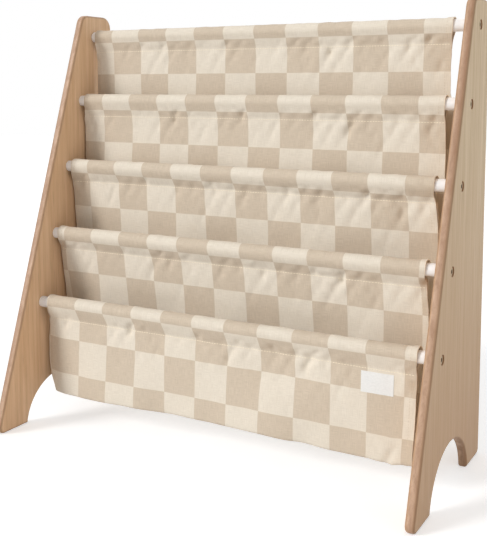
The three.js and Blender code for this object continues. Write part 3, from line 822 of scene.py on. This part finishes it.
def on_cloth(index, along, across, lift):
    """Points of a cloth at a distance along its path and a place across, raised from its middle."""
    length, corners = PATHS[index]

    def middle(s, x):
        y, z = np.interp(s, length, corners[:, 0]), np.interp(s, length, corners[:, 1])
        return hang(np.stack(np.broadcast_arrays(x, y, z), -1))

    down = middle(along + PROBE, across) - middle(along - PROBE, across)
    side = middle(along, across + PROBE) - middle(along, across - PROBE)
    normal = np.cross(down, side)
    normal /= np.linalg.norm(normal, axis=-1, keepdims=True)
    return middle(along, across) + normal * np.asarray(lift)[..., None]


def seam_at(index):
    """Distance along the path to the seam's front, below the sleeve."""
    return PATHS[index][0][SEAM_POINT]


def wall_at(index, z):
    """Distance along the path to a height on the wall below the seam."""
    return seam_at(index) + ROD_Z[index] - STITCH_DROP - z


def cloth_rows(index):
    """Row places: close on the sleeve and round the bottom, wider down the walls."""
    length = PATHS[index][0][-1]
    seam = seam_at(index)
    front_seam = length if index >= LAST - 1 else length - 70
    turn = wall_at(index, fold_height(index) + 50)
    stops = [0, SEAM_ALLOWANCE, seam, seam + 40, turn, min(front_seam, turn + 110), length]
    gaps = [1.8, 1.6, 2.0, 3.4, 1.9, 3.4]
    rows = [np.linspace(a, b, max(2, int(np.ceil((b - a) / g))), endpoint=False)
            for a, b, g in zip(stops, stops[1:], gaps) if b > a]
    return np.concatenate(rows + [[length]])


def sling_cloth(index, columns=232):
    """Closed cloth: front and back grids half a thickness from the path's surface. The thickness grows
    at the turned hems on both sides, whose outer edges are rounded."""
    rows = cloth_rows(index)
    left, right = CUT_LEFT[index], CUT_RIGHT[index]
    across = (left + right) / 2 + (right - left) / 2 * np.linspace(-1, 1, columns)
    to_edge = np.minimum(across - left, right - across)
    hem = 1 - smoothstep(to_edge, *HEM_STEP)
    half = (CLOTH_THICKNESS + (HEM_THICKNESS - CLOTH_THICKNESS) * hem) / 2
    half = half * np.sqrt(1 - (1 - smoothstep(to_edge, *EDGE_ROUNDING)) ** 2)
    s, x = np.meshgrid(rows, across, indexing="ij")
    lift = np.broadcast_to(half, s.shape)
    points, faces = joined_layers(on_cloth(index, s, x, lift), on_cloth(index, s, x, -lift))
    length, corners = PATHS[index]
    front = slice(FRONT_POINT, SEAM_POINT + 1)
    boundary = np.interp(CHECK_DROP[index], ROD_Z[index] - corners[front, 1], length[front])
    slack = CHECK_SLACK[index] * x / CLOTH_WIDTH * (1 - smoothstep(s - boundary, 0, CHECK_SLACK_FADE))
    u = (x - CHECK_X[index]) / CHECK_SIZE + CHECK_TURN[index] + CHECKS_BEFORE
    v = (s - boundary - slack) / CHECK_SIZE + CHECKS_BEFORE
    return make_piece(f"checked_cloth_{index + 1}", points, faces, canvas,
                      [f"sling_cloth_{index + 1}"], uv=layers_uv(u, v), sharp=60)


def spindle(sides=6):
    """One low stitch: an ellipse turned about its long line, with single points as its ends."""
    share = np.array([-0.82, -0.35, 0.35, 0.82])
    rings = len(share)
    angle = 2 * PI * np.arange(sides) / sides
    ring = np.sqrt(1 - share ** 2)[:, None]
    along = np.broadcast_to(share[:, None], (rings, sides))
    body = np.stack([along, ring * np.cos(angle), ring * np.sin(angle)], -1)
    points = np.concatenate([body.reshape(-1, 3), [[-1, 0, 0], [1, 0, 0]]])
    faces = grid_faces(rings, sides, closed_columns=True)[:, ::-1].tolist()
    k = np.arange(sides)
    near, far, last_ring = rings * sides, rings * sides + 1, (rings - 1) * sides
    faces += np.stack([np.full(sides, near), (k + 1) % sides, k], -1)[:, ::-1].tolist()
    faces += np.stack([np.full(sides, far), last_ring + (k + 1) % sides, last_ring + k], -1).tolist()
    return points, faces


def stitches(name, rows, material, radius):
    """Thread piece: the spindle repeated at every stitch, turned along its row."""
    shape, shape_faces = spindle()
    all_points, all_faces, start = [], [], 0
    for index, along, across, lift, step in rows:
        middle = on_cloth(index, along, across, lift)
        ahead = on_cloth(index, along + 0.5 * step[0], across + 0.5 * step[1], lift)
        behind = on_cloth(index, along - 0.5 * step[0], across - 0.5 * step[1], lift)
        way = ahead - behind
        way /= np.linalg.norm(way, axis=-1, keepdims=True)
        up = on_cloth(index, along, across, lift + 0.3 * np.sign(lift)) - middle
        up /= np.linalg.norm(up, axis=-1, keepdims=True)
        side = np.cross(up, way)
        points = (middle[:, None] + shape[None, :, :1] * way[:, None] * STITCH_LENGTH / 2
                  + shape[None, :, 1:2] * side[:, None] * radius
                  + shape[None, :, 2:] * up[:, None] * radius * STITCH_HEIGHT_SHARE)
        all_points.append(points.reshape(-1, 3))
        for k in range(len(middle)):
            all_faces += [[start + k * len(shape) + c for c in face] for face in shape_faces]
        start += len(middle) * len(shape)
    return make_piece(name, np.concatenate(all_points), all_faces, material)


def seam_row(index, along, lift):
    """Stitches across the cloth at one distance along its path."""
    across = np.arange(CUT_LEFT[index] + SEAM_END_INSET, CUT_RIGHT[index] - SEAM_END_INSET, STITCH_PITCH)
    return index, np.full(across.shape, along), across, np.full(across.shape, lift), (0, 1)


def hem_row(index, across, lift, start, end):
    """Stitches along the cloth's side hem."""
    along = np.arange(start, end, STITCH_PITCH)
    return index, along, np.full(along.shape, across), np.full(along.shape, lift), (1, 0)


def sew_label():
    """Bare label: a thin closed patch that follows the lowest pocket's front."""
    across = np.linspace(LABEL_LEFT, LABEL_RIGHT, 29)
    down = np.linspace(wall_at(LAST, LABEL_TOP), wall_at(LAST, LABEL_BOTTOM), 18)
    s, x = np.meshgrid(down, across, indexing="ij")
    outer, inner = (on_cloth(LAST, s, x, np.full(s.shape, CLOTH_THICKNESS / 2 + face))
                    for face in LABEL_FACES)
    points, faces = joined_layers(outer, inner)
    return make_piece("bare_label", points, faces, tape, ["blank_label"],
                      uv=layers_uv(x, s), sharp=40)


for index in range(ROD_COUNT):
    cloth = sling_cloth(index)
    length = PATHS[index][0][-1]
    front = CLOTH_THICKNESS / 2 + THREAD_LIFT
    rows = [seam_row(index, seam_at(index) + SEAM_STITCH_OFFSET, front)]
    if 0 < index < LAST:
        rows.append(seam_row(index - 1, PATHS[index - 1][0][-1] - SEAM_STITCH_OFFSET, front))
    hem_lines = (CUT_LEFT[index] + HEM_WIDTH - HEM_STITCH_INSET,
                 CUT_RIGHT[index] - HEM_WIDTH + HEM_STITCH_INSET)
    hems = [hem_row(index, line, face, HEM_STITCH_START, length - HEM_STITCH_END)
            for face in (front, -front) for line in hem_lines]
    parts = [stitches(f"cloth_stitches_{index + 1}", rows, seam_thread, STITCH_RADIUS),
             stitches(f"hem_stitches_{index + 1}", hems, hem_thread, HEM_STITCH_RADIUS)]
    if index == LAST:
        parts.append(sew_label())


# Floor, light and camera, in metres

FLOOR_HALF = 6.0
FLOOR_TONE = 0.78
FLOOR_GLOW = 0.42
WORLD_LIGHT = 0.47
# Suns as strength, spread in degrees and direction; the square lamp as power, size and place
SUNS = {"left_softbox": (2.02, 20, (0.60, 0.70, -0.42)),
        "right_softbox": (0.42, 50, (-0.86, 0.22, -0.40)),
        "back_softbox": (0.50, 80, (0.10, -0.75, -0.60))}
SIDE_LAMP = (0.8, 1.2, (1.4, 0.35, 0.6))
LAMP_TARGET = (0, 0, 0.3)
# The photograph's camera: place, turn and dip in degrees, lens for a frame height, and the picture's
# shift as pixels out of its height
CAMERA_PLACE = (0.6062, -1.0546, 0.4892)
CAMERA_TURN, CAMERA_DIP = 29.02, 5.80
CAMERA_LENS, CAMERA_FRAME = 61.06, 36.0
CAMERA_SHIFT = -88 / 536


def build_floor():
    """Wide pale floor that takes the object's shadow, with a glow that only the camera sees, so that it
    comes out white."""
    mesh = bpy.data.meshes.new("studio_floor")
    corners = [[-FLOOR_HALF, -FLOOR_HALF, 0], [FLOOR_HALF, -FLOOR_HALF, 0], [FLOOR_HALF, FLOOR_HALF, 0],
               [-FLOOR_HALF, FLOOR_HALF, 0]]
    mesh.from_pydata(corners, [], [[0, 1, 2, 3]])
    floor = add_object("studio_floor", mesh)
    f = Finish("floor_white")
    diffuse = f.node("BsdfDiffuse", {"Color": (FLOOR_TONE, FLOOR_TONE, FLOOR_TONE, 1)})
    glow = f.node("Emission", {"Strength": f.times(f.seen_directly(), FLOOR_GLOW)})
    add = f.node("AddShader", {0: diffuse.outputs[0], 1: glow.outputs[0]})
    f.links.new(add.outputs[0], f.nodes["Material Output"].inputs["Surface"])
    f.nodes.remove(f.shader)
    mesh.materials.append(f.material)


def build_world():
    """White surroundings: full white behind the object, softer as the light that falls on it."""
    world = bpy.data.worlds.new("studio_white")
    bpy.context.scene.world = world
    world.use_nodes = True
    f = Nodes(world.node_tree)
    back = f.nodes["Background"]
    back.inputs["Color"].default_value = (1, 1, 1, 1)
    f.links.new(f.spread(f.seen_directly(), 0.0, 1.0, WORLD_LIGHT, 1.0), back.inputs["Strength"])


def facing(direction):
    """Turn of a lamp or camera that looks along a direction."""
    return Vector(direction).to_track_quat("-Z", "Y").to_euler()


def build_light():
    """Three soft suns: the strongest in front on the left, a weak one from far round the right-hand side
    and a broad one from behind and above; and a square lamp beside the right panel."""
    for name, (strength, spread, direction) in SUNS.items():
        lamp = bpy.data.lights.new(name, "SUN")
        lamp.energy = strength
        lamp.angle = np.radians(spread)
        add_object(name, lamp).rotation_euler = facing(direction)
    power, size, place = SIDE_LAMP
    lamp = bpy.data.lights.new("side_lamp", "AREA")
    lamp.energy, lamp.size = power, size
    side = add_object("side_lamp", lamp)
    side.location = place
    side.visible_camera = False
    side.rotation_euler = facing(Vector(LAMP_TARGET) - Vector(place))


def build_camera():
    """The photograph's camera, as fitted to the corners, rods and bolts in it."""
    camera = bpy.data.cameras.new("photo_view")
    camera.sensor_fit = "VERTICAL"
    camera.sensor_height = CAMERA_FRAME
    camera.lens = CAMERA_LENS
    camera.shift_y = CAMERA_SHIFT
    camera.clip_end = 50
    view = add_object("photo_view", camera)
    view.location = CAMERA_PLACE
    yaw, pitch = np.radians(CAMERA_TURN), np.radians(CAMERA_DIP)
    level = np.cos(pitch)
    view.rotation_euler = facing((-np.sin(yaw) * level, np.cos(yaw) * level, -np.sin(pitch)))
    bpy.context.scene.camera = view


build_floor()
build_world()
build_light()
build_camera()
bpy.context.scene.view_settings.view_transform = "Standard"
